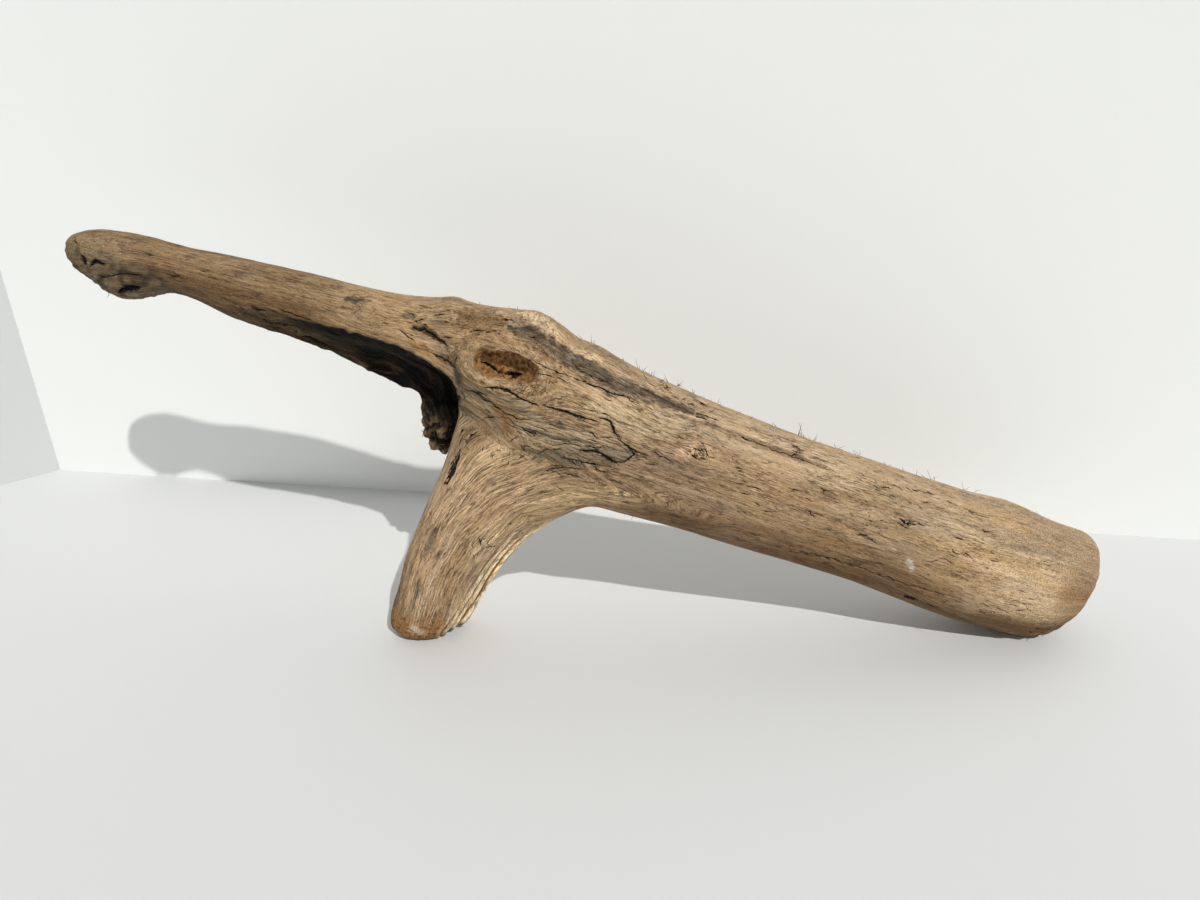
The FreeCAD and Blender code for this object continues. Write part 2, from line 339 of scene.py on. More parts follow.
finer = log.modifiers.new("finer", "SUBSURF")
finer.levels = finer.render_levels = skin["levels"]
mesh = finished(log)
count = len(mesh.vertices)
place = read(mesh.vertices, "co")
normal = read(mesh.vertices, "normal")
grain = read(mesh.attributes["grain"].data, "vector")
print("skin of", count, "points")

# fibres part and flow round a knot: its middle, its radius, and how much longer than high it is
knots = [((-0.058, -0.037, 0.21), 0.019, 1.5), ((-0.038, -0.01, 0.236), 0.011, 1.3),
         ((0.063, -0.052, 0.158), 0.004, 1.6), ((-0.15, 0.0, 0.234), 0.005, 1.8),
         ((-0.112, -0.041, 0.088), 0.004, 2.0), ((0.176, -0.045, 0.11), 0.003, 2.0),
         ((-0.318, 0.027, 0.268), 0.006, 1.3)]
knotReach, knotFull = 6, 3  # in radii
belongs = legPart(place)


def nearestTo(spot):  # that point, and how far all are from it
    nearest = np.linalg.norm(place - np.array(spot), axis=1).argmin()
    return nearest, np.linalg.norm(place - place[nearest], axis=1)


for centre, radius, length in knots:
    nearest, away = nearestTo(centre)
    here = away < radius * knotReach
    du = (grain[here, 0] - grain[nearest, 0]) / length
    dv = grain[here, 1] - grain[nearest, 1]
    d2 = np.maximum(du ** 2 + dv ** 2, 1e-9)
    fade = ease(radius * knotReach, radius * knotFull, away[here])
    fade = fade * ease(0.6, 0.1, np.abs(belongs[here] - belongs[nearest]))
    v = np.where(d2 > radius ** 2, dv * (1 - radius ** 2 / d2), radius - np.sqrt(d2))
    grain[here, 1] = grain[here, 1] * (1 - fade) + (grain[nearest, 1] + v) * fade
print("grain laid")


# relief
def field(coords, size, seed):
    scaled = coords / np.array(size) + seed * 13.7
    return np.array([noise.noise(p) for p in scaled.tolist()])


# from every point to a line given in millimetres; share asks how far along the line as well
def distance(line, flatten=0.35, reach=0.03, share=False, signed=False):
    scale = np.array((1, flatten, 1))
    line = np.array(line) / 1000 * scale
    best, at, turned = np.full(count, 1.0), np.zeros(count), np.ones(count)
    here = ((place * scale > line.min(0) - reach) & (place * scale < line.max(0) + reach)).all(1)
    p = place[here] * scale
    close, part, hand = np.full(len(p), 1.0), np.zeros(len(p)), np.ones(len(p))
    for k, (a, b) in enumerate(zip(line, line[1:])):
        ab = b - a
        t = np.clip(((p - a) @ ab) / (ab @ ab), 0, 1)
        off = np.linalg.norm(p - a - t[:, None] * ab, axis=1)
        part = np.where(off < close, (k + t) / (len(line) - 1), part)
        turn = np.where(ab[0] * (p - a)[:, 2] < ab[2] * (p - a)[:, 0], -1, 1)
        hand = np.where(off < close, turn, hand)
        close = np.minimum(close, off)
    best[here], at[here], turned[here] = close, part, hand
    if signed:
        best = best * turned
    return (best, at) if share else best


x, y, z = place.T.copy()
bumps = ((0.0022, 8), (0.006, 1), (0.014, 2), (0.045, 3))  # size and seed
grit, crumb, lump, swellNoise = (field(place, (size,) * 3, seed) for size, seed in bumps)

lipX = [-0.26, -0.226, -0.193, -0.16, -0.134, -0.116, -0.105, -0.096, -0.088]
lipZ = [0.232, 0.235, 0.228, 0.222, 0.217, 0.212, 0.206, 0.2, 0.19]
lip = np.interp(x, lipX, lipZ)
limbCentre = np.interp(x, spineX, spineY)
gutter = ease(0.0, 0.003, lip - z + crumb * 0.002) * ease(-0.25, -0.215, x + lump * 0.02)
gutter *= ease(-0.075, -0.085, x) * (z > 0.11)
gutter *= 1 - ease(0.3, 0.6, normal[:, 1]) * (y > limbCentre + 0.006)
gutter *= 1 - ease(0.0, 0.35, normal[:, 1]) * ease(0.185, 0.165, z)
legLine = [(-128, -25, 0), (-108, -23, 60), (-86, -21, 100), (-60, -19, 140), (-50, -18, 165)]
legGap = distance(legLine, 1.0, 0.06) - np.interp(
    z, [0, 0.06, 0.1, 0.14, 0.17], [0.018, 0.022, 0.027, 0.036, 0.042])
gutter *= ease(0.0, 0.004, legGap + np.where(y > -0.004, 0.02, 0))

# inside the rotted gutter the ribs keep to the limb's lower edge, then turn down the torn skirt
edgeLine = np.array([(-300, 0, 245), (-204, 0, 211), (-176, 0, 197), (-148, 0, 185), (-134, 0, 178),
                     (-125, 0, 168), (-122, 0, 157), (-122, 0, 122)])
edgeRun = np.concatenate([[0], np.cumsum(np.linalg.norm(np.diff(edgeLine, axis=0), axis=1))]) / 1000
edgeAway, edgeAt = distance(edgeLine, 0.0, 0.07, share=True)
edgeAway = np.where(edgeAway < 0.5, edgeAway, 0.07)
within = gutter > 0.02
sway = lump * 0.003 + crumb * 0.0009
flow = np.stack([np.interp(edgeAt, np.linspace(0, 1, len(edgeRun)), edgeRun), edgeAway + sway, y * 0.8],
                1)
grain[within] = flow[within]

streams = ((0.12, 0.03, 4), (0.07, 0.008, 5), (0.03, 0.003, 6), (0.01, 0.002, 7))
longWave, flute, rib, fleck = (field(grain, (ahead, wide, wide), seed) for ahead, wide, seed in streams)
print("noise sampled")

amount = {"swell": 0.0008, "wave": 0.0009, "flute": 0.0006, "rib": 0.0003, "fleck": 0.00012,
           "rotFlute": 0.0034, "rotRib": 0.0016, "rotLump": 0.001, "rotCrumb": 0.0006,
           "tip": 0.001, "toeRib": 0.0009, "toeRibEvery": 0.0046,
           "buttCrumb": 0.0014, "buttGrit": 0.0008,
           "skirtCrumb": 0.0042, "skirtGrit": 0.0022, "skirtLump": 0.003,
           "lumpCrumb": 0.0012, "lumpGrit": 0.0005, "tipCrumb": 0.002, "tipGrit": 0.0006}
relief = swellNoise * amount["swell"] + longWave * amount["wave"] + flute * amount["flute"]
relief = relief + rib * amount["rib"] + fleck * amount["fleck"]
relief += gutter * (-np.abs(flute) * amount["rotFlute"] - np.abs(rib) * amount["rotRib"]
                    + lump * amount["rotLump"] + crumb * amount["rotCrumb"])
relief += amount["tip"] * ease(-0.25, -0.3, x)

# cracks: their line in millimetres, half width, depth, and how far they wander
cracks = {
    "belowKnotLeft": ([(-84, -31, 192), (-78, -34, 192), (-71, -38, 192)], 0.7, 1.2, 1.5),
    "belowKnot": ([(-70, -40, 198), (-62, -41, 198), (-56, -43, 197), (-48, -46, 193), (-38, -51, 190)],
                  1.1, 2.0, 1.6),
    "belowKnotRight": ([(-34, -51, 191), (-22, -54, 188), (-11, -55, 185), (-1, -55, 182)], 0.9, 1.6,
                       1.6),
    "hook": ([(0, -54, 184), (6, -54, 182), (9, -56, 175), (12, -56, 172)], 0.85, 1.6, 1.2),
    "tick": ([(16, -57, 167), (23, -57, 162), (29, -57, 160)], 0.6, 1.2, 0.8),
    "patchFoot": ([(-12, -58, 163), (-2, -58, 163), (4, -59, 159), (10, -59, 155)], 1.1, 1.8, 1.5),
    "patchEnd": ([(11, -56, 171), (17, -57, 166), (21, -58, 161), (15, -59, 156), (8, -59, 155)], 0.65,
                 1.2, 1.6),
    "patchRim": ([(-24, -55, 156), (-8, -58, 154), (6, -58, 152)], 0.45, 0.9, 2.5),
    "underPatch": ([(-40, -44, 141), (-31, -49, 146), (-22, -53, 149), (-12, -56, 149)], 0.6, 1.0, 1.0),
    "bandUnder": ([(-41, -42, 217), (-30, -44, 210), (-18, -45, 206), (-1, -45, 200), (10, -44, 195),
                   (20, -43, 191)], 0.6, 1.1, 1.8),
    "kneeUnder": ([(-40, -42, 211), (-30, -43, 207), (-20, -45, 203)], 0.4, 0.8, 3.0),
    "bandTop": ([(-50, -23, 229), (-40, -29, 227), (-30, -33, 223), (-22, -35, 219)], 0.4, 0.9, 2.0),
    "bandMiddle": ([(-24, -38, 213), (-10, -40, 208), (6, -41, 200)], 0.4, 0.8, 2.5),
    "crumbling": ([(-103, -22, 213), (-98, -25, 211), (-92, -28, 209)], 0.9, 1.6, 5.0),
    "shoulder": ([(-119, -10, 226), (-110, -13, 226), (-102, -19, 223), (-95, -24, 219)], 0.8, 1.6,
                 3.0),
    "shoulderEnd": ([(-126, -9, 224), (-122, -11, 222), (-117, -14, 219)], 0.6, 1.0, 1.5),
    "greyEdge": ([(-95, -25, 213), (-90, -28, 207), (-87, -31, 199)], 0.45, 0.9, 2.5),
    "legScar": ([(-89, -35, 154), (-93, -35, 145), (-96, -35, 136), (-101, -35, 128)], 2.3, 1.8, 1.8),
    "legCrease": ([(-94, -42, 120), (-97, -42, 114), (-101, -42, 107)], 0.6, 1.0, 1.2),
    "rimLeft": ([(-89, -29, 197), (-90, -29, 206), (-87, -35, 217), (-82, -35, 223)], 0.35, 0.8, 1.5),
    "legArc": ([(-86, -34, 166), (-78, -28, 171), (-72, -34, 175), (-66, -38, 177)], 0.45, 0.8, 2.0),
    "fork": ([(-75, -34, 190), (-64, -40, 184), (-53, -46, 180), (-44, -50, 181)], 0.5, 1.0, 3.0),
    "patchHole": ([(-44, -48, 161), (-41, -47, 155)], 0.8, 1.6, 1.5),
    "patchInner": ([(-43, -47, 156), (-33, -53, 162), (-25, -55, 163)], 0.45, 1.0, 2.5),
    "patchVeinA": ([(-60, -44, 178), (-44, -50, 173), (-30, -54, 170), (-12, -57, 169)], 0.4, 0.9, 3.5),
    "patchVeinB": ([(-34, -54, 166), (-20, -56, 166), (-4, -58, 166), (8, -58, 166)], 0.35, 0.9, 3.5),
    "gashA": ([(195, -48, 109.5), (202, -49, 105)], 0.9, 1.4, 0.4),
    "gashB": ([(194, -49, 107), (200, -50, 103.5)], 0.6, 1.2, 0.4),
    "keel": ([(127, -50, 85), (139, -52, 85), (169, -52, 75), (186, -51, 67), (207, -51, 59),
              (243, -53, 49)], 0.4, 0.8, 3.0),
    "pit": ([(205, -44, 47), (211, -44, 45), (217, -44, 43)], 2.1, 2.2, 1.2),
    "pitEnd": ([(223, -45, 40), (232, -45, 36)], 0.8, 1.2, 1.2),
    "fissureA": ([(-230, 14, 226), (-218, 12, 223), (-205, 12, 220), (-185, 14, 213)], 0.8, 1.4, 3.0),
    "fissureB": ([(-223, 11, 231), (-217, 10, 230)], 0.5, 1.0, 1.0),
    "fissureC": ([(-206, 8, 232), (-197, 6, 229), (-186, 6, 226)], 0.6, 1.2, 1.5),
    "fissureD": ([(-232, 14, 221), (-205, 16, 213), (-180, 16, 204)], 0.6, 1.2, 4.0),
    "tipCrackA": ([(-341, 34, 270), (-340, 36, 271), (-336, 31, 269)], 1.7, 1.8, 1.5),
    "tipCrackB": ([(-334, 26, 263), (-332, 24, 257)], 1.8, 2.0, 1.2),
    "tipCrackC": ([(-329, 24, 257), (-325, 24, 260), (-320, 23, 258)], 1.6, 2.0, 1.2),
    "lumpHole": ([(-316, 24, 238), (-309, 23, 241), (-302, 23, 242)], 3.4, 3.6, 0.8),
    "lumpSeam": ([(-324, 24, 248), (-312, 23, 251), (-298, 22, 250)], 0.5, 1.0, 2.5),
    "legTickA": ([(-104, -41, 104), (-106, -41, 99)], 0.8, 1.0, 0.8),
    "legTickB": ([(-92, -42, 112), (-86, -41, 122)], 0.45, 0.8, 1.0),
    "legKnot": ([(-82, -41, 79), (-77, -41, 84), (-71, -37, 82), (-66, -35, 86)], 0.6, 1.0, 4.0),
    "legGroove": ([(-68, -34, 85), (-57, -28, 89), (-46, -27, 97)], 0.6, 1.2, 2.0),
    "toeNotch": ([(-103, -30, 22), (-106, -31, 14)], 0.8, 1.2, 1.5),
    "holeLeft": ([(-71, -34, 212), (-67, -33, 209), (-62, -33, 206)], 0.9, 3.0, 2.0),
    "holeRight": ([(-58, -33, 205), (-54, -33, 204), (-50, -34, 204.5)], 1.8, 3.2, 2.5),
    "splinterKnotA": ([(63, -52, 165), (66, -52, 161), (68, -51, 156)], 0.55, 0.9, 1.5),
    "splinterKnotB": ([(57, -53, 158), (62, -53, 155)], 0.4, 0.8, 1.0),
    "splinterKnotC": ([(61, -52, 162), (65, -52, 157)], 0.35, 0.8, 1.0),
    "brownLine": ([(80, -39, 168), (105, -38, 157), (128, -38, 147), (150, -38, 139)], 0.3, 0.5, 2.0),
}

# broken places: middle in millimetres, splits (spread, how many), splinters (also length, lift)
brokenUp = [
    ((61, -52, 160), (6, 4), (7, 16, 5.5, 22)), ((27, -57, 161), (8, 3), (8, 8, 5.5, 12)),
    ((174, -53, 104), (9, 4), (9, 9, 5.0, 20)), ((200, -47, 108), (5, 3), (6, 6, 6.5, 14)),
    ((60, -33, 179), (12, 5), (12, 10, 4.5, 25)), ((35, -27, 193), (9, 3), (9, 10, 4.5, 28)),
    ((63, -30, 182), (9, 4), (9, 7, 4.0, 25)), ((135, -51, 127), (12, 4), (12, 8, 5.0, 12)),
    ((182, -35, 129), (11, 3), (11, 11, 5.0, 20)), ((130, -36, 150), (10, 4), (10, 7, 5.0, 14)),
    ((279, -53, 48), (10, 5), (10, 8, 5.5, 12)), ((306, -46, 19), (12, 5), (12, 12, 5.0, 25)),
    ((262, -53, 41), (8, 4), (8, 7, 5.5, 15)), ((88, -52, 146), (7, 3), (7, 5, 4.5, 14)),
    ((38, -57, 157), (7, 3), (7, 6, 5.0, 12)), ((-1, -52, 190), (7, 3), (7, 6, 5.0, 15)),
    ((-85, -40, 162), (10, 6), (10, 9, 4.5, 18)), ((-60, -45, 152), (16, 8), (16, 12, 4.5, 12)),
    ((-100, -10, 228), (12, 5), (12, 8, 4.5, 14)), ((-70, -20, 229), (12, 5), (12, 9, 4.5, 14)),
    ((-120, -5, 226), (10, 4), (10, 6, 4.5, 12)), ((-74, -42, 85), (10, 7), ()),
    ((-80, -42, 85), (), (14, 10, 4.5, 12)), ((-104, -40, 70), (14, 4), (14, 8, 4.5, 10)),
    ((150, -53, 90), (22, 6), (22, 12, 5.0, 10)), ((235, -50, 80), (24, 6), (24, 12, 5.0, 10)),
    ((100, -54, 125), (24, 6), (24, 12, 5.0, 10)), ((210, -40, 112), (20, 5), (20, 10, 5.0, 12)),
    ((20, -58, 140), (18, 8), (18, 9, 5.0, 10)), ((-30, -52, 140), (14, 7), ()),
    ((-10, -56, 166), (20, 9), ()), ((-45, -48, 172), (16, 7), ()), ((-55, -40, 100), (12, 5), ()),
    ((240, -40, 100), (20, 4), ()), ((-280, 18, 240), (25, 3), ()), ((-45, -50, 120), (14, 6), ()),
    ((-212, 12, 228), (), (16, 6, 4.5, 10)), ((-119, 14, 142), (), (6, 10, 4.0, 35)),
    ((-110, 12, 132), (), (4, 8, 4.5, 40))]
logRun, legRun = Vector((0.93, 0.0, -0.37)), Vector((0.38, 0.0, 0.92))
chip = {"swing": 0.24, "length": (3, 8), "halfWidth": (0.25, 0.48), "depth": (0.5, 0.9),
        "wander": (0.5, 2.5), "turnAt": -0.045, "turnOver": 0.03, "around": 12}
for middle, (spread, many) in [row[:2] for row in brokenUp if row[1]]:
    nearest, away = nearestTo(np.array(middle) / 1000)
    near = np.where(away < spread / 1000)[0]
    around = place[away < (spread + chip["around"]) / 1000]
    for k in range(many):
        at = int(near[random.randrange(len(near))])
        turn = logRun
        if belongs[at] > 0.5:
            share = 0.5 + 0.5 * math.tanh((place[at][0] - chip["turnAt"]) / chip["turnOver"])
            turn = legRun.lerp(logRun, share)
        swing, far = random.gauss(0, chip["swing"]), random.uniform(*chip["length"]) / 1000
        run = np.array((turn.x * math.cos(swing) - turn.z * math.sin(swing), 0,
                        turn.x * math.sin(swing) + turn.z * math.cos(swing)), dtype=np.float32)
        line = []
        for part in (0, 0.5, 1):
            ahead = around - place[at] - run.astype(float) * far * part
            line.append(around[np.linalg.norm(ahead, axis=1).argmin()] * 1000)
        cracks["chip" + str(len(cracks))] = (
            line, random.uniform(*chip["halfWidth"]), random.uniform(*chip["depth"]),
            random.uniform(*chip["wander"]))

shape = {"width": 0.72, "ends": 0.2, "reach": 0.006, "least": 0.0006}
crackSide, crackGap, crackNear = np.full(count, 4.0), np.full(count, 0.02), np.zeros(count)
for lineOf, wide, deep, wander in cracks.values():
    away, at = distance(lineOf, reach=shape["reach"], share=True, signed=True)
    away = away + (crumb * 0.6 + grit * 0.25) * wander / 1000
    taper = np.sqrt(np.sin(math.pi * np.clip(at, 0.02, 0.98)))
    thin = wide / 1000 * shape["width"] * (shape["ends"] + (1 - shape["ends"]) * taper)
    gap = np.abs(away)
    relief -= ease(1.5, 0.3, gap / np.maximum(thin, shape["least"])) * deep / 1000
    crackSide = np.where(gap < crackGap, away / thin, crackSide)
    around = ease(np.maximum(0.0017, 1.7 * thin), np.maximum(0.001, 1.3 * thin), gap)
    crackNear = np.maximum(crackNear, around)
    crackGap = np.minimum(crackGap, gap)

# the knot: a raised rim round a fibrous hollow with two black holes
eye = {"centre": (-0.057, 0.212), "along": 0.0205, "across": 0.01, "slope": -0.16, "deep": 0.0026,
       "rimRise": 0.0013}
du = x - eye["centre"][0]
dv = z - eye["centre"][1] - du * eye["slope"]
eyeOff = np.sqrt((du / eye["along"]) ** 2 + (dv / eye["across"]) ** 2)
onFront = (y < 0.0) * (np.abs(du) < 0.05) * (z > 0.17)
hollow = ease(1.06, 0.84, eyeOff + crumb * 0.16 + lump * 0.14 + grit * 0.1) * onFront
rim = ease(0.55, 0.0, np.abs(eyeOff - 1.45)) * onFront
rings = np.cos(eyeOff * 15 + crumb) * ease(1.0, 1.2, eyeOff) * ease(2.3, 1.6, eyeOff) * onFront
relief -= hollow * eye["deep"] * (1 + 0.25 * lump) + hollow * np.abs(grit) * 0.0014
relief += rim * eye["rimRise"] + rings * 0.00025

# the second toe is gullied, and its inner edge is a thin pale lip
toeEdge = distance([(-29, -24, 99), (-43, -21, 84), (-58, -20, 66), (-70, -20, 47), (-82, -20, 26),
                    (-98, -20, 3)], 0.3)
toeSide = ease(0.022, 0.013, toeEdge) * ease(0.105, 0.085, z) * (y < 0.02)
gully = np.cos(toeEdge * 2 * math.pi / amount["toeRibEvery"] + crumb * 0.6 + flute * 1.2)
toeRidged = toeSide * ease(0.1, 0.07, z)
relief += toeRidged * gully * amount["toeRib"]

# the underside of the butt end and the foot of the skirt are crumbly
buttLow = ease(0.022, 0.006, z) * ease(0.27, 0.3, x)
skirt = ease(0.165, 0.14, z) * (x < -0.08) * (y > -0.002) * (z > 0.11) * (legGap > -0.004)
relief += (buttLow * (crumb * amount["buttCrumb"] + grit * amount["buttGrit"])
           + skirt * (crumb * amount["skirtCrumb"] + grit * amount["skirtGrit"] + lump
                      * amount["skirtLump"]))
tipLump = ease(0.018, 0.01, distance([(-325, 24, 252), (-307, 23, 243), (-295, 25, 241)], 0.5))
tipFace = ease(-0.322, -0.338, x + lump * 0.004) * ease(0.275, 0.262, z)
relief += (tipLump * (crumb * amount["lumpCrumb"] + grit * amount["lumpGrit"])
           + tipFace * (-np.abs(crumb) * amount["tipCrumb"] + grit * amount["tipGrit"]))

place += normal * relief[:, None]
place[:, 2] = np.maximum(place[:, 2], 0.0)


# colour, laid in large soft patches; the finer streaks are in the finish
woodColour, warmth = (0.67, 0.565, 0.445), (1.03, 0.985, 0.91)
tint = np.tile(np.array(linear(*woodColour)), (count, 1))


def wash(colour, weight):
    global tint
    weight = np.clip(weight, 0, 1)[:, None]
    tint = tint * (1 - weight) + np.array(linear(*colour)) * weight


def patch(colour, line, wide, soft, strength=1.0, ragged=0.35, taper=False):
    away, at = distance(line, 0.5, share=True)
    away = away + (flute * 0.4 + crumb * 0.35 + grit * 0.25) * wide * 2 * ragged / 1000
    if taper:
        away = away / np.sqrt(np.sin(math.pi * np.clip(at, 0.03, 0.97)))
    share = ease((wide + soft) / 1000, (wide - soft) / 1000, away)
    wash(colour, share * strength)
    return share


side = (z - np.interp(x, spineX, spineZ)) / np.interp(x, spineX, logGirth)  # -1 under the log, 1 on top
brushed = side + flute * 0.3
onLog = ease(-0.02, 0.06, x)
onLimb = ease(-0.09, -0.16, x)
wash((0.75, 0.655, 0.54), ease(0.05, 0.6, longWave + flute * 0.6) * 0.65)
wash((0.53, 0.425, 0.315), ease(0.05, 0.7, -longWave - flute * 0.5) * 0.6)
wash((0.71, 0.6, 0.44), ease(0.1, 0.6, swellNoise + flute * 0.4) * 0.45)
wash((0.55, 0.47, 0.39), ease(0.25, 0.7, -swellNoise + rib * 0.5 + flute * 0.3) * 0.4)
# painted highlight: the stem's top is paler, as where the light falls on it
wash((0.75, 0.665, 0.56), ease(0.3, 0.8, brushed) * onLog * 0.55)
# painted shade: the stem is darker below
wash((0.46, 0.355, 0.24), ease(0.1, -0.8, brushed + longWave * 0.2) * onLog * 0.85)
wash((0.465, 0.355, 0.235), onLimb * 0.85)  # the limb is browner
wash((0.63, 0.52, 0.38), onLimb * ease(0.15, 0.7, flute + longWave) * 0.6)
# painted highlight: the limb's top is paler, as where the light falls on it
wash((0.66, 0.56, 0.44), onLimb * ease(0.35, 0.9, brushed) * 0.6)
onButt = ease(0.225, 0.28, x + flute * 0.02) * ease(0.33, 0.295, x)
wash((0.9, 0.8, 0.665), onButt * ease(-0.75, -0.3, brushed) * ease(1.05, 0.5, side) * 0.65)
# painted shade: the limb's underside is darker
wash((0.42, 0.35, 0.26), ease(-0.12, -0.18, x) * ease(-0.1, -0.8, brushed) * 0.8)
wash((0.78, 0.67, 0.52), ease(-0.195, -0.16, x) * ease(-0.095, -0.12, x) * ease(-0.1, 0.3, side) * 0.55)
onLeg = ease(0.01, -0.004, legGap + flute * 0.006) * ease(0.17, 0.12, z)
wash((0.9, 0.775, 0.63), onLeg * 0.9)
wash((0.7, 0.575, 0.43), onLeg * ease(0.1, 0.7, flute - longWave) * 0.5)
wash((0.95, 0.84, 0.71), onLeg * ease(0.15, 0.7, -flute + rib * 0.4) * 0.5)
patch((0.98, 0.87, 0.71), [(-82, -38, 72), (-74, -38, 92), (-64, -38, 108)], 10, 7, 0.6, 0.3, True)
# painted light: the arch below the stem is paler, to offset the shade the stem casts on it
archPaintedLight = patch(
    (0.93, 0.81, 0.635),
    [(-66, -40, 88), (-48, -42, 106), (-28, -46, 120), (-4, -52, 128), (22, -54, 128)], 11, 8, 0.75,
    0.3, True)

depth = lip - z
crest = ease(0.13, 0.02, np.abs(rib)) * 0.6 + ease(0.1, 0.02, np.abs(flute)) * 0.8
lowEdge = ease(0.016, 0.004, edgeAway + lump * 0.004)
wash((0.36, 0.3, 0.21), gutter)
# the gutter below the lip is painted near black: dark rot, with painted shade under the lip's overhang
wash((0.075, 0.055, 0.038),
     gutter * ease(0.0, 0.003, depth) * ease(-0.245, -0.19, x + flute * 0.07 + rib * 0.03))
wash((0.012, 0.009, 0.007),
     gutter * ease(0.0, 0.003, depth) * (1 - lowEdge) * ease(-0.215, -0.17, x + flute * 0.03))
wash((0.42, 0.335, 0.23),
     gutter * np.clip(crest, 0, 1) * ease(0.002, 0.012, depth) * (0.34 + 0.5 * lowEdge))
wash((0.46, 0.385, 0.27),
     gutter * ease(0.022, 0.006, edgeAway + lump * 0.004) * ease(-0.15, -0.2, x)
     * ease(-0.1, 0.4, flute + rib * 0.5) * 0.7)
wash((0.36, 0.29, 0.21), skirt * ease(-0.1, 0.4, crumb) * ease(-0.095, -0.11, x) * 0.7)
wash((0.6, 0.51, 0.385), skirt * ease(0.02, 0.3, crumb + grit * 0.5) * ease(-0.098, -0.108, x) * 0.75)
patch((0.69, 0.53, 0.36), [(-124, -7, 219), (-114, -13, 216), (-105, -18, 211), (-96, -26, 203)], 3.4,
      1.6, 0.85, 0.3, True)  # warm lip
patch((0.45, 0.4, 0.33), [(-95, -24, 220), (-89, -26, 218), (-88, -33, 211), (-87, -31, 197)], 3.0, 1.6,
      0.75, 0.5)
patch((0.23, 0.175, 0.13), [(-120, -9, 226), (-110, -13, 226), (-102, -19, 223), (-95, -24, 219)], 2.6,
      0.8, 0.85, 0.7, True)
patch((0.27, 0.2, 0.15), [(-104, -21, 214), (-98, -25, 211), (-90, -29, 207)], 1.8, 0.9, 0.7, 1.2, True)
patch((0.9, 0.805, 0.675),
      [(-51, -10, 236), (-40, -14, 236), (-31, -20, 230), (-21, -27, 223), (-8, -30, 215),
       (8, -31, 210)], 5.0, 3.0, 0.85, 0.35, True)
patch((0.5, 0.39, 0.27), [(-90, -8, 234), (-76, -13, 232), (-60, -17, 232)], 7.0, 4.0, 0.8, 0.6, True)
bandShare = patch(
    (0.42, 0.37, 0.305),
    [(-56, -22, 230), (-42, -29, 228), (-30, -33, 222), (-18, -36, 216), (-7, -38, 210), (6, -39, 203)],
    5.6, 1.8, 0.92, 0.5, True)
bandShare = np.maximum(bandShare, patch(
    (0.39, 0.345, 0.285),
    [(-30, -34, 220), (-12, -38, 211), (5, -39, 203), (20, -39, 195), (40, -38, 187), (64, -37, 178)],
    3.4, 1.5, 0.88, 0.6, True))
patch((0.66, 0.6, 0.51), [(-16, -46, 203), (10, -43, 196), (34, -38, 189)], 1.3, 0.7, 0.7, 0.4, True)
patch((0.5, 0.4, 0.3),
      [(52, -40, 179), (80, -39, 168), (105, -38, 157), (128, -38, 148), (165, -36, 133)], 1.6, 1.0,
      0.7, 0.6, True)
patchShare = patch(
    (0.71, 0.635, 0.525),
    [(-88, -26, 190), (-74, -36, 187), (-58, -43, 183), (-40, -51, 177), (-18, -56, 170),
     (4, -58, 165), (20, -58, 162)],
    8.5, 2.5, 0.85, 0.5, True)
patchShare = np.maximum(patchShare, patch(
    (0.53, 0.475, 0.395),
    [(-46, -49, 158), (-28, -54, 158), (-8, -57, 158), (10, -58, 161), (22, -58, 160)], 6.0, 1.6, 0.8,
    0.6, True))
greyed = np.maximum(bandShare, patchShare)
wash((0.26, 0.22, 0.18), greyed * ease(0.0, 0.35, rib + flute * 0.3) * 0.8)
wash((0.67, 0.61, 0.505), greyed * ease(0.15, 0.55, -rib + crumb * 0.3) * 0.5)
patch((0.5, 0.45, 0.36), [(-88, -24, 176), (-80, -25, 167)], 4.0, 2.5, 0.75)
patch((0.58, 0.44, 0.27), [(-63, -41, 183), (-59, -43, 178), (-56, -43, 172)], 3.4, 2.4, 0.75, 0.5)
patch((0.72, 0.58, 0.4), [(-64, -41, 188), (-57, -43, 184), (-50, -45, 181)], 3.6, 2.6, 0.6, 0.5)
patch((0.95, 0.82, 0.64), [(-85, -38, 138), (-74, -42, 151), (-62, -44, 158)], 9, 6, 0.55, 0.4)
patch((0.55, 0.49, 0.375), [(-92, -28, 196), (-86, -30, 186), (-84, -28, 176)], 2.4, 1.8, 0.6)
patch((0.78, 0.7, 0.57), [(-14, -53, 191), (6, -53, 186), (28, -53, 178), (44, -52, 172)], 6.5, 5.0,
      0.65, 0.6, True)
patch((0.7, 0.62, 0.5), [(-76, -44, 199), (-60, -46, 196), (-40, -48, 199), (-26, -47, 203)], 3.5, 2.5,
      0.5, 0.5, True)
limbSpots = (([(-166, 9, 239), (-157, 8, 238.5), (-148, 8, 238)], 2.2, 0.9),
             ([(-126, -2, 232), (-121, -4, 232), (-116, -6, 232)], 1.9, 0.65),
             ([(-107, -12, 230), (-97, -15, 231)], 1.7, 0.55))
for spot, size, strength in limbSpots:
    patch((0.31, 0.285, 0.24), spot, size, 1.0, strength, 0.7, True)
legSpots = (([(-107, -41, 99), (-112, -41, 89), (-118, -41, 76)], 2.8),
            ([(-122, -42, 60), (-127, -42, 42)], 1.8),
            ([(-62, -28, 84), (-54, -26, 90), (-44, -25, 98)], 2.4))
for spot, size in legSpots:
    patch((0.45, 0.41, 0.345), spot, size, 1.2, 0.75, 0.5, True)
patch((0.765, 0.65, 0.485),
      [(185, -53, 100), (221, -51, 93), (252, -49, 84), (279, -52, 72), (301, -51, 60), (328, -46, 44)],
      5.0, 4.0, 0.7, 0.5, True)
patch((0.79, 0.66, 0.51), [(258, -32, 101), (270, -33, 98), (279, -34, 95), (290, -36, 90)], 2.2, 1.4,
      0.65, 0.6, True)
patch((0.5, 0.44, 0.37),
      [(248, -45, 93), (263, -45, 88), (279, -45, 85), (301, -43, 78), (317, -41, 71)], 1.8, 1.4, 0.55,
      0.8, True)
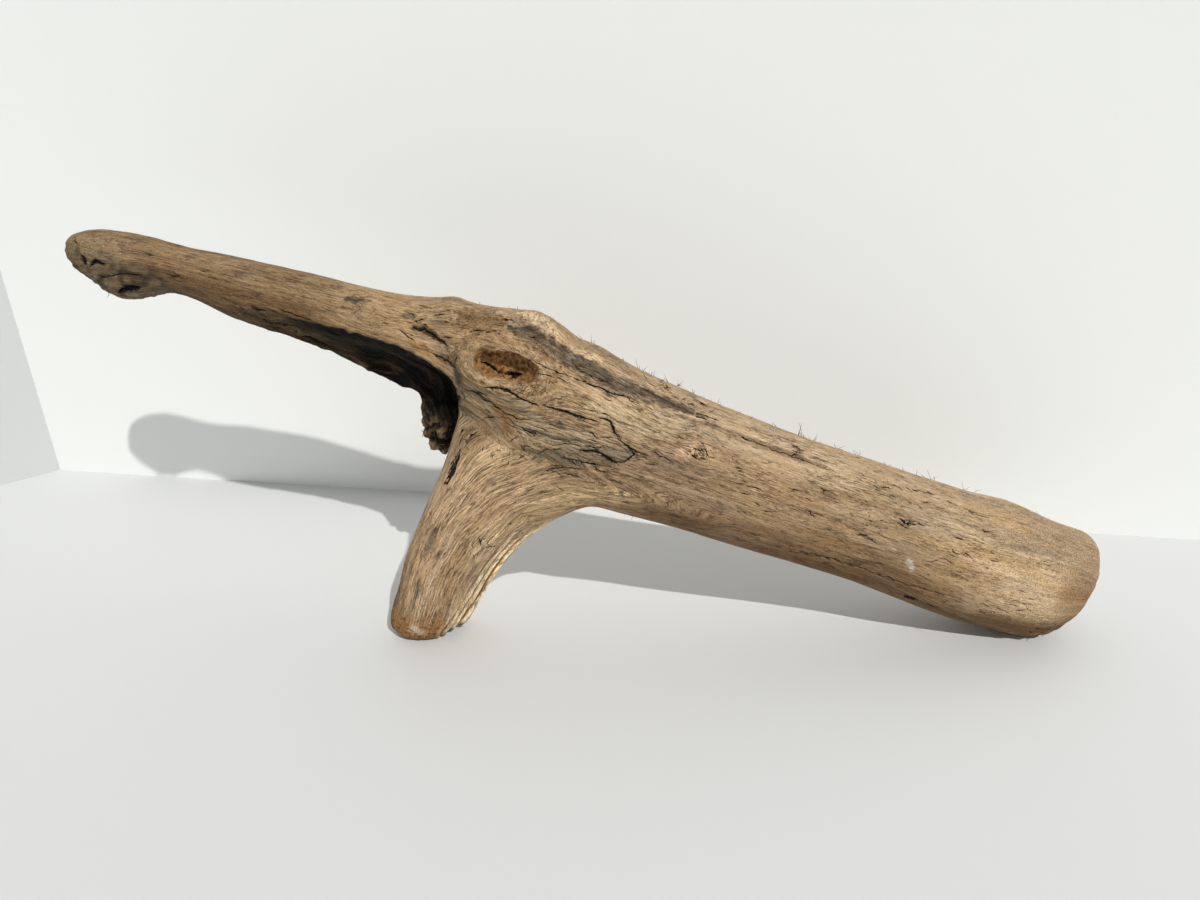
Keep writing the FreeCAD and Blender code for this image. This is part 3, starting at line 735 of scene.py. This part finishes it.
patch((0.42, 0.32, 0.205), [(262, -50, 32), (300, -48, 20), (330, -40, 22)], 6.0, 5.0, 0.6)
patch((0.58, 0.45, 0.29), [(316, -46, 48), (334, -38, 40)], 8.0, 6.0, 0.5)
splinterOff = distance([(54, -53, 161), (64, -52, 160)], 0.5) + crumb * 0.003
wash((0.85, 0.72, 0.6), ease(0.0075, 0.003, splinterOff) * 0.7)
paleSpotOff = distance([(202, -55, 81), (206, -54, 75)], 0.5) + grit * 0.0025 + crumb * 0.001
wash((0.84, 0.82, 0.79), ease(0.003, 0.0012, paleSpotOff) * 0.65)

# the foot is stained brown, the toe's ridges are pale
footStain = ease(0.034, 0.014, z + crumb * 0.006 + lump * 0.004) * (x < -0.108)
wash((0.7, 0.51, 0.3), footStain * 0.85)
wash((0.4, 0.27, 0.14), footStain * ease(0.05, 0.4, grit + crumb * 0.3) * 0.8)
# a pale spot on the foot: worn wood, with a painted glossy highlight
paleSpotOff = distance([(-131, -42, 15), (-127, -43, 14)], 0.3) + grit * 0.0015 + crumb * 0.003
wash((0.9, 0.86, 0.8), ease(0.0065, 0.0005, paleSpotOff) * 0.8)
wash((0.97, 0.89, 0.76), toeRidged * ease(-0.5, 0.2, gully) * 0.95)
wash((0.93, 0.86, 0.72), ease(0.005, 0.003, toeEdge + crumb * 0.001) * ease(0.105, 0.09, z) * 0.95)
# painted shade: the toe's bottom end near the floor is grey, as if in shadow
shadedToeEnd = ease(0.01, 0.007, z + crumb * 0.002) * ease(-0.114, -0.109, x) * (x < -0.07) * (y > -0.05)
wash((0.36, 0.345, 0.325), shadedToeEnd * 0.9)
patch((0.74, 0.63, 0.48), [(-337, 32, 266), (-325, 30, 262)], 8, 5, 0.45)
tipOff = distance([(-322, 26, 268), (-314, 25, 266)], 0.5) + crumb * 0.004
wash((0.66, 0.57, 0.45), ease(0.016, 0.006, tipOff) * 0.6)
wash((0.49, 0.435, 0.355), np.maximum(tipLump, tipFace * 0.8) * 0.8)
wash((0.24, 0.2, 0.16), np.maximum(tipLump, tipFace) * ease(0.05, 0.4, -crumb) * 0.7)
patch((0.62, 0.55, 0.44), [(-312, 23, 236), (-302, 24, 237)], 1.4, 0.8, 0.8)

wash((0.66, 0.54, 0.39), rim * 0.55)
wash((0.74, 0.64, 0.5), rim * ease(0.2, 0.9, rings) * 0.4)
wash((0.5, 0.37, 0.23), rim * ease(-0.3, -0.9, rings) * 0.3)
wash((0.63, 0.475, 0.3), hollow)
wash((0.36, 0.23, 0.12), hollow * ease(0.0, 0.4, grit + crumb * 0.6) * 0.8)
wash((0.74, 0.59, 0.4), hollow * ease(0.1, 0.45, -grit) * 0.5)

tint *= warmth
store(mesh, "tint", "FLOAT_COLOR", np.column_stack([tint, np.ones(count)]))
store(mesh, "grain", "FLOAT_VECTOR", grain)
hipFront = ease(0.045, 0.02, distance([(-75, -42, 168), (-20, -55, 172), (40, -56, 150)], 0.3, 0.05))
legGrooves = 0.65 * onLeg + 0.6 * onLeg * ease(0.05, 0.02, toeEdge) * (1 - toeRidged) + 0.8 * archPaintedLight
grooved = legGrooves + 0.9 * greyed + 0.8 * gutter + 0.2 * onLimb + 0.6 * hipFront
speckled = ease(0.215, 0.31, x + lump * 0.02) * 0.9 + ease(-0.325, -0.34, x) + hollow + footStain * 0.8
masks = {"grooved": np.clip(grooved, 0, 1), "stipple": np.clip(speckled, 0, 1), "crackSide": crackSide,
         "crackNear": crackNear, "ribbed": -gully * toeRidged}
for name, values in masks.items():
    store(mesh, name, "FLOAT", values)
mesh.vertices.foreach_set("co", place.astype(np.float32).ravel())
mesh.update()
mesh.shade_smooth()
store(mesh, "facing", "FLOAT_VECTOR", read(mesh.vertices, "normal"))
print("relief and colour laid")


# the wood's finish: streaks, specks and splits over that colour
finish = {"speck": 900, "lineWidth": 0.026, "threadWidth": 0.03, "darkShare": 0.8,
          "splitColour": (0.1, 0.075, 0.07),
          "darkTint": (0.2, 0.15, 0.12), "warmTint": (1.06, 0.98, 0.84), "coolTint": (0.96, 0.98, 1.04),
          "powers": (0.92, 1.06, 1.28), "leastBright": 0.25, "roughness": (0.7, 0.9), "specular": 0.25,
          "bumpDepth": 0.0013}
wood = Tree("driftwood")
grainPlace = wood.attribute("grain", vector=True)
tintColour = wood.attribute("tint", colour=True)
grooves = wood.attribute("grooved")
stipple = wood.attribute("stipple")
gap = wood.math("ABSOLUTE", wood.attribute("crackSide"))
objectPlace = wood.add("ShaderNodeTexCoord").outputs["Object"]


def plus(a, b):
    return wood.math("ADD", a, b)


def times(a, b):
    return wood.math("MULTIPLY", a, b)


def larger(a, b):
    return wood.math("MAXIMUM", a, b)


def drawn(ahead, across, detail, rough, twist=0.0):  # noise drawn out along the grain
    return wood.noise(wood.stretched(grainPlace, (ahead, across, across)), detail, rough, twist)


def swing(value, by):  # a noise made into a change of that much, up or down
    return wood.span(value, 0.3, 0.7, (-by, by), False)


def thinLines(value, wide):  # lines where a noise crosses its middle
    off = wood.math("ABSOLUTE", wood.math("SUBTRACT", value, 0.5))
    return wood.span(off, 0.0, wide, (1.0, 0.0))


def ifStippled(clean, stippled):
    return wood.span(stipple, 0.0, 1.0, (clean, stippled), False)


broad = drawn(18, 200, 3, 0.6, 0.3)
fine = drawn(65, 980, 4, 0.7, 0.5)
hair = drawn(200, 2000, 3, 0.65, 0.5)
hue = drawn(22, 90, 3, 0.6)
speck = wood.noise(wood.stretched(objectPlace, (finish["speck"],) * 3), 2, 0.6)
busy = wood.span(drawn(22, 55, 3, 0.65), 0.36, 0.64, (0.55, 1.35), False)

lines = thinLines(drawn(26, 420, 3, 0.55, 0.3), finish["lineWidth"])
lines = times(lines, wood.span(plus(drawn(60, 220, 2, 0.6), times(grooves, 0.16)), 0.53, 0.62))
threads = thinLines(drawn(50, 900, 2, 0.5, 0.7), finish["threadWidth"])
threadParts = plus(drawn(80, 150, 2, 0.6), times(grooves, 0.12))
threads = times(threads, wood.span(threadParts, 0.54, 0.64, (0.0, 0.85)))
cells = wood.add("ShaderNodeTexVoronoi", feature="F1")
cells.inputs["Scale"].default_value = 1.0
wood.put(cells.inputs["Vector"], wood.stretched(grainPlace, (120, 700, 700)))
ticks = wood.span(cells.outputs["Distance"], 0.12, 0.26, (1.0, 0.0))
ticks = times(ticks, wood.span(drawn(30, 45, 3, 0.7), 0.54, 0.63))
dark = times(larger(lines, larger(ticks, threads)), ifStippled(1.0, 0.25))
dark = larger(dark, times(wood.span(speck, 0.58, 0.66), ifStippled(0.15, 0.9)))
dark = larger(dark, wood.span(plus(wood.attribute("ribbed"), swing(fine, 0.3)), 0.62, 0.85))

ragged = plus(plus(gap, swing(hair, 0.7)), swing(speck, 0.25))
nearCrack = wood.span(wood.attribute("crackNear"), 0.15, 0.5)
split = times(wood.span(ragged, 0.75, 1.25, (1.0, 0.0)), nearCrack)

streaks = times(plus(swing(fine, 0.42), swing(hair, 0.5)), times(busy, ifStippled(1.0, 0.38)))
bright = plus(wood.span(broad, 0.3, 0.7, (0.78, 1.2), False), streaks)
bright = plus(bright, times(swing(speck, 0.22), ifStippled(1.0, 2.8)))
bright = larger(bright, finish["leastBright"])
grey = wood.add("ShaderNodeCombineColor")
for socket, power in zip(grey.inputs, finish["powers"]):  # darker wood is browner, not greyer
    wood.put(socket, wood.math("POWER", bright, power))
colour = wood.mix(1.0, tintColour, grey.outputs[0], "MULTIPLY")
warm = wood.mix(1.0, colour, finish["warmTint"], "MULTIPLY")
colour = wood.mix(wood.span(hue, 0.5, 0.68, (0.0, 0.5)), colour, warm)
cool = wood.mix(1.0, colour, finish["coolTint"], "MULTIPLY")
colour = wood.mix(wood.span(hue, 0.5, 0.32, (0.0, 0.5)), colour, cool)
darkWood = wood.mix(1.0, tintColour, finish["darkTint"], "MULTIPLY")
colour = wood.mix(times(dark, finish["darkShare"]), colour, darkWood)
colour = wood.mix(split, colour, linear(*finish["splitColour"]))
wood.give("Base Color", colour)
wood.give("Roughness", wood.span(fine, 0.3, 0.7, finish["roughness"], False))
wood.give("Specular IOR Level", finish["specular"])

height = times(plus(fine, times(hair, 0.5)), ifStippled(1.0, 0.4))
height = plus(height, times(speck, ifStippled(0.25, 0.9)))
height = wood.math("SUBTRACT", height, times(dark, 0.7))
height = wood.math("SUBTRACT", height, split)
bump = wood.add("ShaderNodeBump")
bump.inputs["Strength"].default_value = 1.0
bump.inputs["Distance"].default_value = finish["bumpDepth"]
wood.put(bump.inputs["Height"], height)
wood.give("Normal", bump.outputs[0])
print("finish made")


# the skin is parted into pieces; each cut has a point and the way it faces
cuts = {"hip": ((0.04, 0, 0), (1, 0, 0)), "leg": ((-0.06, 0, 0.145), (0.3, 0, 1)),
        "limb": ((-0.122, 0, 0), (1, 0, 0)), "stem": ((0.195, 0, 0), (1, 0, 0))}


def parted(bm, cut, keepAbove):
    point, across = cuts[cut]
    part = bm.copy()
    bmesh.ops.bisect_plane(part, geom=part.verts[:] + part.edges[:] + part.faces[:], dist=1e-7,
                           plane_co=point, plane_no=across,
                           clear_inner=keepAbove, clear_outer=not keepAbove)
    rimEdges = [e for e in part.edges if e.is_boundary]
    made = bmesh.ops.edgeloop_fill(part, edges=rimEdges)["faces"]
    for face in made:
        face.smooth = False
    bmesh.ops.triangulate(part, faces=made)
    return part


whole = bmesh.new()
whole.from_mesh(mesh)
right, leftSide = parted(whole, "hip", True), parted(whole, "hip", False)
low, high = parted(leftSide, "leg", False), parted(leftSide, "leg", True)
pieces = {"limbWood": (parted(high, "limb", False), "driftwood",
                       ("tapering_limb", "tip_burl", "torn_skirt")),
          "hipWood": (parted(high, "limb", True), "driftwood",
                      ("knot_collar", "knot_core", "crown_burl")),
          "legWood": (low, "pale_wood", ("leg", "second_toe")),
          "stemWood": (parted(right, "stem", False), "driftwood", ("stem",)),
          "buttWood": (parted(right, "stem", True), "driftwood", ("stem",))}
for bm in (whole, leftSide, high, right):
    bm.free()
for name, (bm, slotName, nodes) in pieces.items():
    part = meshFrom(name, bm)
    facing = read(part.attributes["facing"].data, "vector")
    facing /= np.maximum(np.linalg.norm(facing, axis=1)[:, None], 1e-9)
    corner = np.zeros(len(part.loops), dtype=int)
    part.loops.foreach_get("vertex_index", corner)
    loopNormals = facing[corner]
    for face in part.polygons:
        if not face.use_smooth:
            loopNormals[list(face.loop_indices)] = face.normal
    part.normals_split_custom_set(loopNormals.tolist())
    piece = linked(name, part, wood.material)
    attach(piece, "root")
    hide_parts(*nodes)
    print(name, sum(len(f.vertices) - 2 for f in part.polygons), "triangles")

# lifted fibres: middle or place along X, spread, how many, length, degrees of lift
hairs = {
    "tuft": 0.00019, "splinter": 0.0003, "root": 0.0008, "bevel": 0.001, "upRidge": (0.45, 0.89),
    "ridge": [
        (-90, 5, 4, 4.0, 50), (-73, 6, 6, 4.5, 45), (-58, 5, 4, 4.0, 50), (-22, 5, 4, 4.0, 50),
        (-6, 6, 7, 5.5, 50), (14, 5, 4, 4.5, 50), (29, 4, 8, 7.5, 50), (35, 4, 5, 6.0, 60),
        (47, 6, 11, 8.0, 42), (58, 6, 7, 6.5, 40), (72, 5, 4, 5.0, 50), (85, 6, 8, 5.5, 45),
        (101, 6, 5, 5.0, 45), (118, 6, 4, 5.0, 50), (135, 4, 3, 10.0, 72), (145, 6, 9, 6.5, 45),
        (159, 6, 6, 6.0, 50), (179, 6, 7, 6.0, 45), (195, 6, 6, 5.5, 45), (214, 6, 4, 5.0, 50),
        (231, 4, 5, 8.0, 60), (258, 5, 3, 6.0, 60), (284, 6, 4, 5.0, 50), (312, 5, 3, 6.0, 60)],
    "tufts": [
        ((22, -20, 100), 4, 3, 6.0, 60), ((243, -45, 30), 4, 4, 6.0, 55),
        ((-222, 16, 206), 6, 3, 4.5, 60), ((-150, 20, 184), 6, 3, 4.5, 60),
        ((-322, 27, 236), 4, 2, 4.0, 60)]}
skinNormal = read(mesh.vertices, "normal")
spine = np.array(logSpine)
# along the top of the log as it is seen from the front
for across, spread, many, length, lift in hairs["ridge"]:
    middle = [1000 * np.interp(across / 1000, spineX, values) for values in (spineY, spineZ)]
    girth = 1000 * np.interp(across / 1000, spineX, logGirth)
    middle = (across, middle[0] + girth * hairs["upRidge"][0], middle[1] + girth * hairs["upRidge"][1])
    hairs["tufts"].append((middle, spread, many, length, lift))
thread = bpy.data.curves.new("fibres", "CURVE")
thread.dimensions = "3D"
thread.bevel_depth = hairs["bevel"]
thread.bevel_resolution = 0
thread.use_fill_caps = True
splinters = [(row[0], *row[2]) for row in brokenUp if row[2]]
kinds = ((hairs["tufts"], hairs["tuft"], 0.9, 32), (splinters, hairs["splinter"], 0.35, 16))
for rows, thickness, bow, stray in kinds:
    for middle, spread, many, length, lift in rows:
        nearest, away = nearestTo(np.array(middle) / 1000)
        near = np.where(away < spread / 1000)[0]
        for k in range(many):
            at = int(near[random.randrange(len(near))])
            out = Vector(skinNormal[at]).normalized()
            step = int(np.clip(np.searchsorted(spineX, place[at][0]), 1, len(spine) - 1))
            run = Vector((-0.35, -0.05, -0.93))  # down the leg
            if place[at][2] > 0.125 or place[at][0] > 0:
                run = Vector(spine[step] - spine[step - 1])
            run = (run - out * run.dot(out)).normalized()
            sideways = out.cross(run)
            off = math.radians(random.gauss(0, stray))
            run = (run * math.cos(off) + sideways * math.sin(off)) * random.choice((-1, 1))
            rise = math.radians(lift * random.uniform(0.6, 1.25))
            far = length / 1000 * random.uniform(0.6, 1.4)
            curl = random.uniform(-bow, bow)
            points = [Vector(place[at]) - out * hairs["root"]]
            for n in range(4):
                rise += curl * 0.3
                way = run * math.cos(rise) + out * math.sin(rise) + sideways * curl * 0.25 * n
                points.append(points[-1] + way * far / 4)
            spline = thread.splines.new("POLY")
            spline.points.add(len(points) - 1)
            for n, (spot, p) in enumerate(zip(spline.points, points)):
                spot.co = (*p, 1)
                spot.radius = thickness / hairs["bevel"] * (1.0, 1.0, 0.85, 0.6, 0.25)[n]
bm = bmesh.new()
bm.from_mesh(finished(linked("fibres", thread)))
bmesh.ops.remove_doubles(bm, verts=bm.verts, dist=1e-7)
bmesh.ops.recalc_face_normals(bm, faces=bm.faces)
fibre = Tree("lifted fibre")
fibrePlace = fibre.add("ShaderNodeTexCoord").outputs["Object"]
shade = fibre.noise(fibre.stretched(fibrePlace, (160, 160, 160)), 2, 0.6)
darkFibre, paleFibre = linear(0.24, 0.17, 0.115), linear(0.44, 0.345, 0.245)
fibreColour = fibre.mix(fibre.span(shade, 0.35, 0.65), darkFibre, paleFibre)
fibre.give("Base Color", fibreColour)
fibre.give("Roughness", fibre.span(shade, 0.3, 0.7, (0.75, 0.9), False))
fibre.give("Specular IOR Level", finish["specular"])
fibres = linked("fibres", meshFrom("fibres", bm), fibre.material)
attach(fibres, "root")
print("fibres", len(fibres.data.polygons), "faces")
